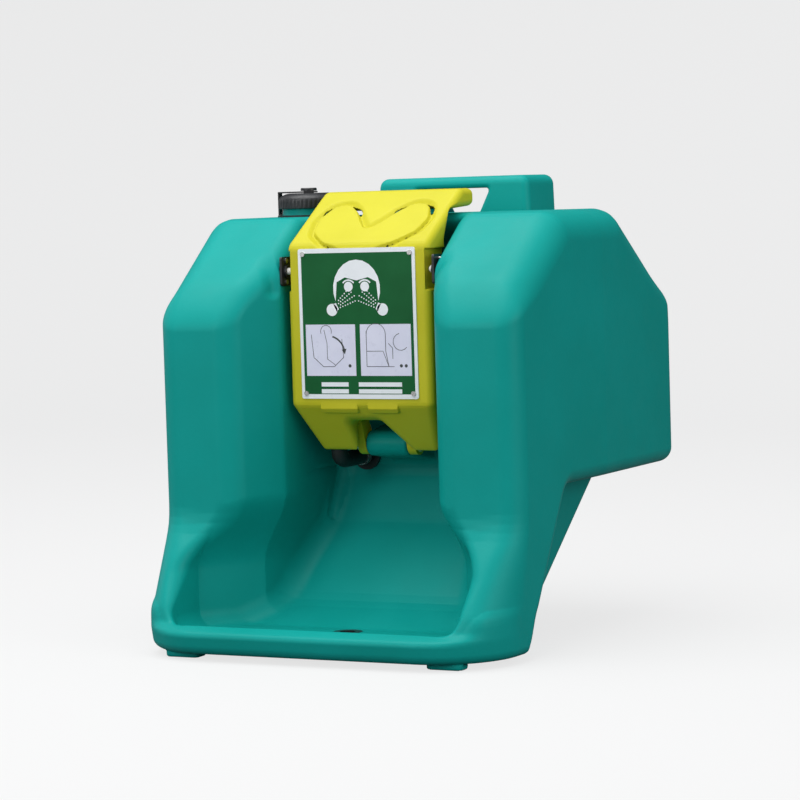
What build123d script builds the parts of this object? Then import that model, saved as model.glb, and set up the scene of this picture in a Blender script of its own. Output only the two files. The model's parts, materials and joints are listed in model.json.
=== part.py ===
"""Portable gravity-fed eyewash station: moulded water tank with a basin, and a pull-down arm.

Millimetres. +X is to the right of someone facing the front, -Y is the front, +Z is up.
The origin is the middle of the floor plane under the overall box.
Distances behind the lobe fronts are "setbacks"; heights are above the floor.
"""
from build123d import *
import os

os.makedirs("parts", exist_ok=True)

# ---- tank and basin ----
body_width = 540
front_taper = 10           # each side is this much narrower at the lobe fronts
taper_length = 260
tank_depth = 510           # lobe fronts to the wall face
lip_reach = 108            # basin lip ahead of the lobe fronts
wall = 6
foot_height = 8
base = foot_height
lip_front_height = base + 25
lip_crest_height = base + 37
lip_width = 24
basin_floor = base + 18
toe_height = base + 156
tank_bottom = base + 200
front_knee = base + 441
rear_knee = base + 429
tank_top = base + 552
top_front_setback = 150
top_rear_setback = 330
leg_rear_top = 147
leg_rear_low = 62
leg_rear_base = 25
leg_low_height = base + 53
toe_corner = 105
rear_corner = 34
lobe_corner = 30
shoulder_round = 42
open_run = 60              # how far the open hollows are cut past the tank
basin_rim_height = base + 105
basin_fillet_run = 14
core_half = 205            # half width of the lower body between the legs
core_top_setback = 385
core_base_setback = 118

lobe_y = lip_reach / 2 - tank_depth / 2
front_y = lobe_y - lip_reach
rear_y = lobe_y + tank_depth
half_width = body_width / 2
front_half = half_width - front_taper

# ---- arm recess ----
recess_half = 113
recess_mouth_half = 151
recess_facet_depth = 78
recess_depth = 230
recess_ceiling = base + 480
recess_top_setback = 158

# ---- pull-down arm ----
arm_gap = 9                # between the arm's sides and the recess walls
arm_half = recess_half - arm_gap
arm_tip_half = 86
arm_setback = 82
arm_wall = 4
arm_low_bend = base + 306
arm_knee = base + 516
arm_ridge = base + 578
arm_ridge_setback = 180
arm_ridge_run = 6
arm_top = base + 584
arm_lip_setback = 225
arm_lip_bottom = base + 561
arm_heel_setback = 154
arm_heel = base + 557
arm_back_setback = 136
arm_back_top = base + 520
arm_tip = base + 247
arch_top_half = 17
arch_half = 50
arch_height = base + 285
tray_thickness = 3
tray_gap = 0.3

# ---- sign ----
sign_width = 171
sign_height = 196
sign_bottom = base + 315
sign_thickness = 1.5
plate_corner = 3
sign_screw_inset = 7
screw_shank = 1.6
screw_head = 3.2
screw_head_height = 1.4
screw_clearance = 0.1

# ---- pivot ----
pivot_setback = 165
pivot_height = base + 250
pivot_pin_radius = 6
pin_clearance = 0.05
pin_head_radius = 10
pin_head_length = 4
pin_end_play = 0.3
washer_thickness = 1.5
ring_thickness = 1.5
lug_half = 30
lug_radius = 17
lug_root_spread = 12
bush_wall = 2.5
bush_flange = 1.5
ear_thickness = 12
ear_gap = 0.5
ear_radius = 15
ear_root = base + 320
ear_foot_rise = 3
pivot_y = lobe_y + pivot_setback

# ---- filler ----
neck_x = -151
neck_setback = 235
neck_outer = 36
neck_wall = 5
neck_height = 24.5
cap_radius = 42
cap_top_thickness = 5
cap_skirt = 21
cap_clearance = 0.6
flute_radius = 2.2
flute_count = 28
flute_stop = 4             # plain band left above the flutes
gasket_thickness = 2.5
gasket_band = 6
tether_thickness = 2.5
tether_band = 7
strap_width = 9
strap_thickness = 2
strap_gap = 0.5
vent_radius = 7
vent_head_radius = 11
vent_head_height = 4
neck_y = lobe_y + neck_setback
neck_top = tank_top + neck_height

# ---- catches ----
catch_setback = 92
catch_height = base + 482
catch_width = 24
catch_length = 38
catch_thickness = 3
barrel_radius = 7
barrel_length = 16
barrel_floor = 2
bullet_radius = 4.5
bullet_clearance = 0.08
bullet_reach = 12.5        # bullet tip ahead of the recess wall
bullet_length = 15
catch_boss = 12
catch_boss_floor = 4
catch_screw_pitch = 28
pocket_depth = 6
pocket_half_height = 26
pocket_front = 8
pocket_wall = 3
catch_guide = 3.5
bullet_nose = 3.5
spring_coils = 5
spring_wire = 0.45
spring_radius = 3.2

# ---- water path ----
water_x = -70
outlet_height = base + 228
outlet_thread = 12
outlet_flange = 20
flange_thickness = 3
seal_thickness = 2
outlet_reach = 30
hose_outer = 11
hose_wall = 3
hose_bend = 34
pipe_radius = 10
pipe_wall = 2.5
pipe_gap = 0.3
pipe_foot = base + 292
tee_reach = 3
pipe_end = 4
barb_length = 18
nut_thickness = 5
nut_sides = 6
nozzle_height = base + 447
nozzle_half_pitch = 45
nozzle_radius = 24
nozzle_length = 24
nozzle_wall = 3
nozzle_stem = 6
disc_thickness = 2
disc_hole = 1.2
disc_inset = 3
disc_rings = ((6, 6), (11, 10), (16, 14))    # radius and number of holes
clip_width = 12
clip_thickness = 2.5
clip_low_rise = 30
clip_high_drop = 45
clamp_thickness = 1.2
clamp_width = 9
clamp_inset = 6
clamp_screw_width = 8
clamp_screw_height = 6

# ---- drain ----
drain_setback = 27
drain_boss = 34
drain_bore = 10
drain_tube = 13
drain_flange = 19
drain_flange_thickness = 2.5
drain_clearance = 0.2
drain_spigot_bottom = 1

# ---- wall fixing ----
insert_pitch_x = 360
insert_pitch_z = 150
insert_middle = base + 312
insert_radius = 7
insert_bore = 4
insert_length = 15
insert_boss = 15
insert_boss_floor = 5

# ---- moulded feet ----
foot_length = 50
foot_width = 26
foot_corner = 8
foot_x = 188
foot_front_setback = -66
foot_rear_x = 160
foot_rear_setback = 70

# ---- handle ----
handle_half = 115
handle_front_setback = 368
handle_rear_setback = 464
handle_top = base + 600
handle_foot = base + 440
handle_bar = 16
handle_gap_half = 62
handle_gap_bottom = base + 540
handle_foot_inset = 4
handle_shoulder_inset = 18
handle_shoulder_drop = 16
handle_gap_taper = 8


def y_at(setback):
    return lobe_y + setback


leg_rear_toe = leg_rear_low + (leg_rear_top - leg_rear_low) * (toe_height - leg_low_height) / (
    tank_bottom - leg_low_height
)

# Side outline of the tank and the upper legs.
tank_outline = [
    (y_at(0), toe_height),
    (y_at(leg_rear_toe), toe_height),
    (y_at(leg_rear_top), tank_bottom),
    (rear_y, tank_bottom),
    (rear_y, rear_knee),
    (y_at(top_rear_setback), tank_top),
    (y_at(top_front_setback), tank_top),
    (y_at(0), front_knee),
]

# Side outline of the basin rim and the feet of the legs.
toe_outline = [
    (y_at(0), toe_height),
    (front_y + lip_width, lip_crest_height),
    (front_y, lip_front_height),
    (front_y, base),
    (y_at(leg_rear_base), base),
    (y_at(leg_rear_low), leg_low_height),
    (y_at(leg_rear_toe), toe_height),
]

# Side outline of the lower body between the legs.
core_outline = [
    (front_y + lip_width, lip_crest_height),
    (front_y, lip_front_height),
    (front_y, base),
    (y_at(core_base_setback), base),
    (y_at(core_top_setback), tank_bottom),
    (y_at(core_top_setback), tank_bottom + 2 * wall),
    (y_at(0), tank_bottom + 2 * wall),
]

# Plan outlines, right half from the middle of the front.
tank_plan = [
    (0, y_at(0)),
    (front_half, y_at(0)),
    (half_width, y_at(taper_length)),
    (half_width, rear_y),
    (0, rear_y),
]
toe_plan = [
    (0, front_y),
    (front_half, front_y),
    (front_half, y_at(0)),
    (half_width, y_at(taper_length)),
    (half_width, rear_y),
    (0, rear_y),
]

# Levels of the basin hollow: height, front y, front half width, back setback, back half width.
basin_front = front_y - open_run
basin_levels = [
    (basin_floor, front_y + lip_width + basin_fillet_run, 178, 52, 140),
    (lip_crest_height, front_y + lip_width, 200, 118, 128),
    (basin_rim_height, basin_front, 206, 186, 120),
    (tank_bottom, basin_front, recess_mouth_half, recess_depth, recess_half),
]

# Plan of the arm recess.
recess_plan = [
    (-recess_mouth_half, basin_front),
    (-recess_mouth_half, y_at(0)),
    (-recess_half, y_at(recess_facet_depth)),
    (-recess_half, y_at(recess_depth)),
    (recess_half, y_at(recess_depth)),
    (recess_half, y_at(recess_facet_depth)),
    (recess_mouth_half, y_at(0)),
    (recess_mouth_half, basin_front),
]

recess_side = [
    (basin_front, tank_bottom),
    (y_at(recess_depth), tank_bottom),
    (y_at(recess_depth), recess_ceiling),
    (y_at(recess_top_setback), tank_top),
    (y_at(recess_top_setback), tank_top + open_run),
    (basin_front, tank_top + open_run),
]


def tank_block(inset):
    """The tank and the upper legs without hollows; inset moves every face inwards."""
    with BuildPart() as block:
        with BuildSketch(Plane.YZ):
            Polygon(*tank_outline, align=None)
            if inset:
                offset(amount=-inset, kind=Kind.INTERSECTION)
        extrude(amount=half_width, both=True)
        with BuildSketch(Plane.XY) as plan:
            with BuildLine():
                Polyline(*tank_plan)
                mirror(about=Plane.YZ)
            make_face()
            fillet(plan.vertices().group_by(Axis.Y)[0], lobe_corner)
            fillet(plan.vertices().group_by(Axis.Y)[-1], rear_corner)
            if inset:
                offset(amount=-inset, kind=Kind.INTERSECTION)
        extrude(amount=tank_top + open_run, mode=Mode.INTERSECT)
        with BuildSketch(Plane.XZ) as front:
            with Locations((0, tank_top / 2)):
                Rectangle(body_width, tank_top)
            fillet(front.vertices().group_by(Axis.Y)[-1], shoulder_round)
            if inset:
                offset(amount=-inset, kind=Kind.INTERSECTION)
        extrude(amount=body_width, both=True, mode=Mode.INTERSECT)
    return block


def toe_block(inset):
    """The basin rim, the feet of the legs and the lower body between them, without hollows."""
    with BuildPart() as block:
        with BuildSketch(Plane.YZ):
            Polygon(*toe_outline, align=None)
            if inset:
                offset(amount=-inset, kind=Kind.INTERSECTION)
        extrude(amount=half_width, both=True)
        with BuildSketch(Plane.YZ):
            Polygon(*core_outline, align=None)
            if inset:
                offset(amount=-inset, kind=Kind.INTERSECTION)
        extrude(amount=core_half - inset, both=True)
        with BuildSketch(Plane.XY) as plan:
            with BuildLine():
                Polyline(*toe_plan)
                mirror(about=Plane.YZ)
            make_face()
            fillet(plan.vertices().group_by(Axis.Y)[0], toe_corner)
            if inset:
                offset(amount=-inset, kind=Kind.INTERSECTION)
        extrude(amount=tank_top, mode=Mode.INTERSECT)
    return block


def basin_hollow(outset):
    """Basin space between the legs; outset moves every wall outwards."""
    with BuildPart() as hollow:
        for level, front, front_half_width, back, back_half_width in basin_levels:
            shift = -outset if level == basin_levels[0][0] else 0
            with BuildSketch(Plane.XY.offset(level + shift)):
                Polygon(
                    (-front_half_width - outset, front - outset),
                    (front_half_width + outset, front - outset),
                    (back_half_width + outset, y_at(back) + outset),
                    (-back_half_width - outset, y_at(back) + outset),
                    align=None,
                )
        loft(ruled=True)
    return hollow


def recess_hollow(outset):
    """Space that the arm folds into; outset moves every wall outwards."""
    with BuildPart() as hollow:
        with BuildSketch(Plane.XY.offset(tank_bottom)):
            Polygon(*recess_plan, align=None)
            if outset:
                offset(amount=outset, kind=Kind.INTERSECTION)
        extrude(amount=tank_top + open_run - tank_bottom)
        with BuildSketch(Plane.YZ):
            Polygon(*recess_side, align=None)
            if outset:
                offset(amount=outset, kind=Kind.INTERSECTION)
        extrude(amount=body_width, both=True, mode=Mode.INTERSECT)
    return hollow


foot_places = [
    (side * place_x, y_at(setback))
    for side in (-1, 1)
    for place_x, setback in ((foot_x, foot_front_setback), (foot_rear_x, foot_rear_setback))
]
catch_screw_length = wall - 1.5

# ---- tank body ----
basin_space = basin_hollow(0)
recess_space = recess_hollow(0)
basin_skin = basin_hollow(wall)
recess_skin = recess_hollow(wall)
tank_outer = tank_block(0)
toe_outer = toe_block(0)
tank_inner = tank_block(wall)
toe_inner = toe_block(wall)

with BuildPart() as tank_body:
    add(tank_outer.part)
    add(toe_outer.part)
    # grab handle on the rear slope
    with BuildSketch(Plane.XZ.offset(-y_at(handle_front_setback))):
        Polygon(
            (-handle_half, handle_foot),
            (handle_half, handle_foot),
            (handle_half - handle_foot_inset, handle_top - handle_shoulder_drop),
            (handle_half - handle_shoulder_inset, handle_top),
            (-handle_half + handle_shoulder_inset, handle_top),
            (-handle_half + handle_foot_inset, handle_top - handle_shoulder_drop),
            align=None,
        )
    extrude(amount=-(handle_rear_setback - handle_front_setback))
    # filler neck
    with BuildSketch(Plane.XY.offset(tank_top - wall)):
        with Locations((neck_x, neck_y)):
            Circle(neck_outer)
    extrude(amount=neck_height + wall)
    # pivot lug, feet and the solid core round the drain
    with BuildSketch(Plane.YZ):
        with Locations((pivot_y, pivot_height)):
            Circle(lug_radius)
        Polygon(
            (pivot_y, pivot_height - lug_radius),
            (y_at(recess_depth) + 1, pivot_height - lug_radius - lug_root_spread),
            (y_at(recess_depth) + 1, pivot_height + lug_radius + lug_root_spread),
            (pivot_y, pivot_height + lug_radius),
            align=None,
        )
    lug_prism = extrude(amount=lug_half, both=True, mode=Mode.PRIVATE)
    for foot_place in foot_places:
        with BuildSketch(Plane.XY):
            with Locations(foot_place):
                RectangleRounded(foot_length, foot_width, foot_corner)
        extrude(amount=base)
    # hollows
    add(basin_space.part, mode=Mode.SUBTRACT)
    add(recess_space.part, mode=Mode.SUBTRACT)
    add(tank_inner.part - basin_skin.part - recess_skin.part, mode=Mode.SUBTRACT)
    add(toe_inner.part - basin_skin.part - recess_skin.part, mode=Mode.SUBTRACT)
    add(lug_prism)
    # solid bosses inside the hollow for the drain, the wall inserts and the catches
    with BuildSketch(Plane.XY.offset(base)):
        with Locations((0, y_at(drain_setback))):
            Circle(drain_boss)
    extrude(amount=basin_floor - base)
    with BuildSketch(Plane.XZ.offset(-rear_y)):
        with Locations((0, insert_middle)):
            with GridLocations(insert_pitch_x, insert_pitch_z, 2, 2):
                Circle(insert_boss)
    extrude(amount=insert_length + insert_boss_floor)
    for side in (-1, 1):
        with BuildSketch(Plane.YZ.offset(side * recess_half)):
            with Locations((y_at(catch_setback), catch_height)):
                Circle(catch_boss)
        extrude(amount=side * (barrel_length + catch_boss_floor))
    # bores
    with BuildSketch(Plane.YZ):
        with Locations((pivot_y, pivot_height)):
            Circle(pivot_pin_radius + pin_clearance)
    extrude(amount=lug_half + 1, both=True, mode=Mode.SUBTRACT)
    with BuildSketch(Plane.XY.offset(base - 1)):
        with Locations((0, y_at(drain_setback))):
            Circle(drain_tube + drain_clearance)
    extrude(amount=basin_floor, mode=Mode.SUBTRACT)
    with BuildSketch(Plane.XY.offset(basin_floor - drain_flange_thickness - seal_thickness)):
        with Locations((0, y_at(drain_setback))):
            Circle(drain_flange + drain_clearance)
    extrude(amount=drain_flange, mode=Mode.SUBTRACT)
    with BuildSketch(Plane.XZ.offset(-rear_y)):
        with Locations((0, insert_middle)):
            with GridLocations(insert_pitch_x, insert_pitch_z, 2, 2):
                Circle(insert_radius)
    extrude(amount=insert_length, mode=Mode.SUBTRACT)
    for side in (-1, 1):
        with BuildSketch(Plane.YZ.offset(side * recess_half)):
            with Locations((y_at(catch_setback), catch_height)):
                Circle(barrel_radius + screw_clearance)
        extrude(amount=side * (barrel_length + screw_clearance), mode=Mode.SUBTRACT)
        with BuildSketch(Plane.YZ.offset(side * recess_half)):
            with Locations((y_at(catch_setback), catch_height)):
                with GridLocations(1, catch_screw_pitch, 1, 2):
                    Circle(screw_shank + screw_clearance)
        extrude(amount=side * (catch_screw_length + 0.3), mode=Mode.SUBTRACT)
    with BuildSketch(Plane.XZ.offset(-y_at(recess_depth))):
        with Locations((water_x, outlet_height)):
            Circle(outlet_thread + screw_clearance)
    extrude(amount=3 * wall, both=True, mode=Mode.SUBTRACT)
    with BuildSketch(Plane.XY.offset(tank_top - 2 * wall)):
        with Locations((neck_x, neck_y)):
            Circle(neck_outer - neck_wall)
    extrude(amount=neck_height + 3 * wall, mode=Mode.SUBTRACT)
    with BuildSketch(Plane.XZ.offset(-y_at(handle_front_setback) + 1)):
        Polygon(
            (-handle_gap_half, handle_gap_bottom),
            (handle_gap_half, handle_gap_bottom),
            (handle_gap_half - handle_gap_taper, handle_top - handle_bar),
            (-handle_gap_half + handle_gap_taper, handle_top - handle_bar),
            align=None,
        )
    extrude(amount=-(handle_rear_setback - handle_front_setback + 2), mode=Mode.SUBTRACT)
tank_body.part.label = "tank_body"
export_step(tank_body.part, "parts/tank_body.step")

# ---- filler cap, its gasket, vent plug and tether ----

cap_top = neck_top + gasket_thickness + cap_top_thickness
cap_bottom = cap_top - cap_skirt

with BuildPart() as filler_cap:
    with BuildSketch(Plane.XY.offset(cap_bottom)):
        with Locations((neck_x, neck_y)):
            Circle(cap_radius)
    extrude(amount=cap_skirt)
    chamfer(filler_cap.faces().sort_by(Axis.Z)[-1].edges(), 2)
    with BuildSketch(Plane.XY.offset(cap_bottom)):
        with Locations((neck_x, neck_y)):
            Circle(neck_outer + cap_clearance)
    extrude(amount=cap_skirt - cap_top_thickness, mode=Mode.SUBTRACT)
    with BuildSketch(Plane.XY.offset(cap_bottom)):
        with Locations((neck_x, neck_y)):
            with PolarLocations(cap_radius + flute_radius * 0.4, flute_count):
                Circle(flute_radius)
    extrude(amount=cap_skirt - flute_stop, mode=Mode.SUBTRACT)
    with BuildSketch(Plane.XY.offset(cap_bottom)):
        with Locations((neck_x, neck_y)):
            Circle(vent_radius + screw_clearance)
    extrude(amount=cap_skirt, mode=Mode.SUBTRACT)
filler_cap.part.label = "filler_cap"
export_step(filler_cap.part, "parts/filler_cap.step")

with BuildPart() as cap_gasket:
    with BuildSketch(Plane.XY.offset(neck_top)):
        with Locations((neck_x, neck_y)):
            Circle(neck_outer)
            Circle(neck_outer - gasket_band, mode=Mode.SUBTRACT)
    extrude(amount=gasket_thickness)
cap_gasket.part.label = "cap_gasket"
export_step(cap_gasket.part, "parts/cap_gasket.step")

vent_seat = cap_top + strap_gap + strap_thickness + strap_gap
with BuildPart() as vent_plug:
    with BuildSketch(Plane.XY.offset(cap_top - cap_top_thickness)):
        with Locations((neck_x, neck_y)):
            Circle(vent_radius)
    extrude(amount=vent_seat - cap_top + cap_top_thickness)
    with BuildSketch(Plane.XY.offset(vent_seat)):
        with Locations((neck_x, neck_y)):
            Circle(vent_head_radius)
    extrude(amount=vent_head_height)
    chamfer(vent_plug.faces().sort_by(Axis.Z)[-1].edges(), 1)
vent_plug.part.label = "vent_plug"
export_step(vent_plug.part, "parts/vent_plug.step")

with BuildPart() as tether_ring:
    with BuildSketch(Plane.XY.offset(tank_top)):
        with Locations((neck_x, neck_y)):
            Circle(neck_outer + tether_band)
            Circle(neck_outer + screw_clearance, mode=Mode.SUBTRACT)
    extrude(amount=tether_thickness)
tether_ring.part.label = "tether_ring"
export_step(tether_ring.part, "parts/tether_ring.step")

# The strap stands in the XZ plane through the neck, on its left, and its eye lies on the cap.
strap_inner = cap_radius + 2
strap_low = tank_top + tether_thickness
strap_level = cap_top + strap_gap
with BuildPart() as tether_strap:
    with BuildSketch(Plane.XZ.offset(-neck_y)):
        Polygon(
            (neck_x - neck_outer - 1, strap_low),
            (neck_x - strap_inner - strap_thickness, strap_low),
            (neck_x - strap_inner - strap_thickness, strap_level + strap_thickness),
            (neck_x - vent_head_radius, strap_level + strap_thickness),
            (neck_x - vent_head_radius, strap_level),
            (neck_x - strap_inner, strap_level),
            (neck_x - strap_inner, strap_low + strap_thickness),
            (neck_x - neck_outer - 1, strap_low + strap_thickness),
            align=None,
        )
    extrude(amount=strap_width / 2, both=True)
    with BuildSketch(Plane.XY.offset(strap_level)):
        with Locations((neck_x, neck_y)):
            Circle(vent_head_radius + 1)
    extrude(amount=strap_thickness)
    with BuildSketch(Plane.XY.offset(strap_level)):
        with Locations((neck_x, neck_y)):
            Circle(vent_radius + 0.3)
    extrude(amount=strap_thickness, mode=Mode.SUBTRACT)
tether_strap.part.label = "tether_strap"
export_step(tether_strap.part, "parts/tether_strap.step")

# ---- pull-down arm ----
arm_outline = [
    (y_at(arm_setback), arm_low_bend),
    (y_at(arm_setback), arm_knee),
    (y_at(arm_ridge_setback), arm_ridge),
    (y_at(arm_ridge_setback) + arm_ridge_run, arm_top),
    (y_at(arm_lip_setback), arm_top),
    (y_at(arm_lip_setback), arm_lip_bottom),
    (y_at(arm_heel_setback), arm_heel),
    (y_at(arm_back_setback), arm_back_top),
    (y_at(arm_back_setback), arm_tip),
]
# The hollow pan below the arm's solid grip lip.
arm_pan_top = arm_knee + (arm_ridge - arm_knee) * (arm_back_setback - arm_setback) / (
    arm_ridge_setback - arm_setback
)
arm_pan_outline = [
    (y_at(arm_setback), arm_low_bend),
    (y_at(arm_setback), arm_knee),
    (y_at(arm_back_setback), arm_pan_top),
    (y_at(arm_back_setback), arm_tip),
]
arm_front_outline = [
    (-arm_tip_half, arm_tip),
    (-arm_half, arm_low_bend),
    (-arm_half, arm_top),
    (arm_half, arm_top),
    (arm_half, arm_low_bend),
    (arm_tip_half, arm_tip),
    (arch_half, arm_tip),
    (arch_top_half, arch_height),
    (-arch_top_half, arch_height),
    (-arch_half, arm_tip),
]
tray_half = arm_half - pocket_depth - arm_wall - 0.5
tray_low_half = arm_tip_half - 2 * arm_wall
tray_bottom = arm_tip + arm_wall
tray_top = arm_back_top - arm_wall
tray_y = y_at(arm_back_setback)
tray_outline = [
    (-tray_low_half, tray_bottom),
    (-tray_half, arm_low_bend),
    (-tray_half, tray_top),
    (tray_half, tray_top),
    (tray_half, arm_low_bend),
    (tray_low_half, tray_bottom),
    (arch_half + arm_wall, tray_bottom),
    (arch_top_half + arm_wall, arch_height + arm_wall),
    (-arch_top_half - arm_wall, arch_height + arm_wall),
    (-arch_half - arm_wall, tray_bottom),
]


def inset_corners(corners, inset):
    """Corners of a clockwise outline after each of its sides has moved inwards."""
    moved = []
    count = len(corners)
    for index in range(count):
        before = Vector(*corners[index - 1])
        here = Vector(*corners[index])
        after = Vector(*corners[(index + 1) % count])
        arriving = (here - before).normalized()
        leaving = (after - here).normalized()
        turn_in = Vector(arriving.Y, -arriving.X) + Vector(leaving.Y, -leaving.X)
        half_cosine = turn_in.length / 2
        point = here + turn_in.normalized() * (inset / half_cosine)
        moved.append((point.X, point.Y))
    return moved


def arm_block(outline, inset):
    """The arm's side outline cut to its front outline; inset moves every face inwards."""
    with BuildPart() as block:
        with BuildSketch(Plane.YZ):
            Polygon(*inset_corners(outline, inset), align=None)
        extrude(amount=arm_half, both=True)
        with BuildSketch(Plane.XZ.offset(-y_at(arm_setback) + 1)):
            Polygon(*inset_corners(arm_front_outline, inset), align=None)
        extrude(amount=-2 * recess_depth, mode=Mode.INTERSECT)
    return block


sign_y = y_at(arm_setback)
sign_screw_x = sign_width - 2 * sign_screw_inset
sign_screw_z = sign_height - 2 * sign_screw_inset
sign_middle = sign_bottom + sign_height / 2


def tray_block(gap, front, back):
    """Slab of the tray's outline between two y planes; gap is left all round it."""
    with BuildPart() as block:
        with BuildSketch(Plane.XZ.offset(-front)):
            Polygon(*inset_corners(tray_outline, gap), align=None)
        extrude(amount=-(back - front))
    return block


arm_outer = arm_block(arm_outline, 0)
arm_inner = arm_block(arm_pan_outline, arm_wall)
back_opening = tray_block(0, tray_y - arm_wall - 1, tray_y + 1)

with BuildPart() as arm_front_shell:
    add(arm_outer.part)
    add(arm_inner.part, mode=Mode.SUBTRACT)
    for side in (-1, 1):
        with BuildSketch(Plane.YZ.offset(side * (arm_half - 1))):
            Polygon(
                (y_at(catch_setback) - pocket_front - pocket_wall, catch_height - pocket_half_height - pocket_wall),
                (tray_y, catch_height - pocket_half_height - pocket_wall),
                (tray_y, catch_height + pocket_half_height + pocket_wall),
                (y_at(catch_setback) - pocket_front - pocket_wall, catch_height + pocket_half_height + pocket_wall),
                align=None,
            )
        extrude(amount=-side * (pocket_depth + arm_wall - 2))
        with BuildSketch(Plane.YZ.offset(side * (arm_half + 1))):
            Polygon(
                (y_at(catch_setback) - pocket_front, catch_height - pocket_half_height),
                (tray_y + 1, catch_height - pocket_half_height),
                (tray_y + 1, catch_height + pocket_half_height),
                (y_at(catch_setback) - pocket_front, catch_height + pocket_half_height),
                align=None,
            )
        extrude(amount=-side * (pocket_depth + 1), mode=Mode.SUBTRACT)
    add(back_opening.part, mode=Mode.SUBTRACT)
    with BuildSketch(Plane.XZ.offset(-sign_y)):
        with Locations((0, sign_middle)):
            with GridLocations(sign_screw_x, sign_screw_z, 2, 2):
                Circle(screw_shank + screw_clearance)
    extrude(amount=-arm_wall - 1, mode=Mode.SUBTRACT)
arm_front_shell.part.label = "arm_front_shell"
export_step(arm_front_shell.part, "parts/arm_front_shell.step")

ear_inner = lug_half + ear_gap
ear_outer = ear_inner + ear_thickness
bush_radius = pivot_pin_radius + pin_clearance + bush_wall
with BuildPart() as arm_back_tray:
    add(tray_block(tray_gap, tray_y - tray_thickness, tray_y).part)
    for side in (-1, 1):
        with BuildSketch(Plane.YZ.offset(side * ear_inner)):
            with Locations((pivot_y, pivot_height)):
                Circle(ear_radius)
            Polygon(
                (tray_y - tray_thickness, ear_root),
                (tray_y, ear_root),
                (pivot_y + ear_radius, pivot_height),
                (pivot_y - ear_radius, pivot_height),
                (tray_y, arch_height + arm_wall + ear_foot_rise),
                (tray_y - tray_thickness, arch_height + arm_wall + ear_foot_rise),
                align=None,
            )
            with Locations((pivot_y, pivot_height)):
                Circle(bush_radius, mode=Mode.SUBTRACT)
        extrude(amount=side * ear_thickness)
arm_back_tray.part.label = "arm_back_tray"
export_step(arm_back_tray.part, "parts/arm_back_tray.step")

with BuildPart() as pivot_bushes:
    for side in (-1, 1):
        with BuildSketch(Plane.YZ.offset(side * ear_inner)):
            with Locations((pivot_y, pivot_height)):
                Circle(bush_radius)
                Circle(pivot_pin_radius + pin_clearance, mode=Mode.SUBTRACT)
        extrude(amount=side * (ear_thickness + bush_flange))
        with BuildSketch(Plane.YZ.offset(side * ear_outer)):
            with Locations((pivot_y, pivot_height)):
                Circle(bush_radius + 2)
                Circle(pivot_pin_radius + pin_clearance, mode=Mode.SUBTRACT)
        extrude(amount=side * bush_flange)
pivot_bushes.part.label = "pivot_bushes"
export_step(pivot_bushes.part, "parts/pivot_bushes.step")

pin_seat = ear_outer + bush_flange + pin_end_play
with BuildPart() as pivot_pin:
    with BuildSketch(Plane.YZ.offset(-pin_seat - pin_head_length)):
        with Locations((pivot_y, pivot_height)):
            Circle(pin_head_radius)
    extrude(amount=pin_head_length)
    with BuildSketch(Plane.YZ.offset(-pin_seat)):
        with Locations((pivot_y, pivot_height)):
            Circle(pivot_pin_radius)
    extrude(amount=2 * pin_seat + washer_thickness + ring_thickness + 2)
    chamfer(pivot_pin.faces().sort_by(Axis.X)[-1].edges(), 1)
    chamfer(pivot_pin.faces().sort_by(Axis.X)[0].edges(), 1)
pivot_pin.part.label = "pivot_pin"
export_step(pivot_pin.part, "parts/pivot_pin.step")

with BuildPart() as pivot_washer:
    with BuildSketch(Plane.YZ.offset(pin_seat)):
        with Locations((pivot_y, pivot_height)):
            Circle(pin_head_radius)
            Circle(pivot_pin_radius + pin_clearance, mode=Mode.SUBTRACT)
    extrude(amount=washer_thickness)
pivot_washer.part.label = "pivot_washer"
export_step(pivot_washer.part, "parts/pivot_washer.step")

with BuildPart() as pivot_retaining_ring:
    with BuildSketch(Plane.YZ.offset(pin_seat + washer_thickness)):
        with Locations((pivot_y, pivot_height)):
            Circle(pivot_pin_radius + 2.5)
            Circle(pivot_pin_radius + pin_clearance, mode=Mode.SUBTRACT)
    extrude(amount=ring_thickness)
pivot_retaining_ring.part.label = "pivot_retaining_ring"
export_step(pivot_retaining_ring.part, "parts/pivot_retaining_ring.step")

# ---- sign ----
with BuildPart() as sign_plate:
    with BuildSketch(Plane.XZ.offset(-sign_y)):
        with Locations((0, sign_middle)):
            RectangleRounded(sign_width, sign_height, plate_corner)
            with GridLocations(sign_screw_x, sign_screw_z, 2, 2):
                Circle(screw_shank + screw_clearance, mode=Mode.SUBTRACT)
    extrude(amount=sign_thickness)
sign_plate.part.label = "sign_plate"
export_step(sign_plate.part, "parts/sign_plate.step")

with BuildPart() as sign_screws:
    with BuildSketch(Plane.XZ.offset(-sign_y + sign_thickness)):
        with Locations((0, sign_middle)):
            with GridLocations(sign_screw_x, sign_screw_z, 2, 2):
                Circle(screw_head)
    extrude(amount=screw_head_height)
    with BuildSketch(Plane.XZ.offset(-sign_y + sign_thickness)):
        with Locations((0, sign_middle)):
            with GridLocations(sign_screw_x, sign_screw_z, 2, 2):
                Circle(screw_shank)
    extrude(amount=-sign_thickness - arm_wall)
sign_screws.part.label = "sign_screws"
export_step(sign_screws.part, "parts/sign_screws.step")

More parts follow.
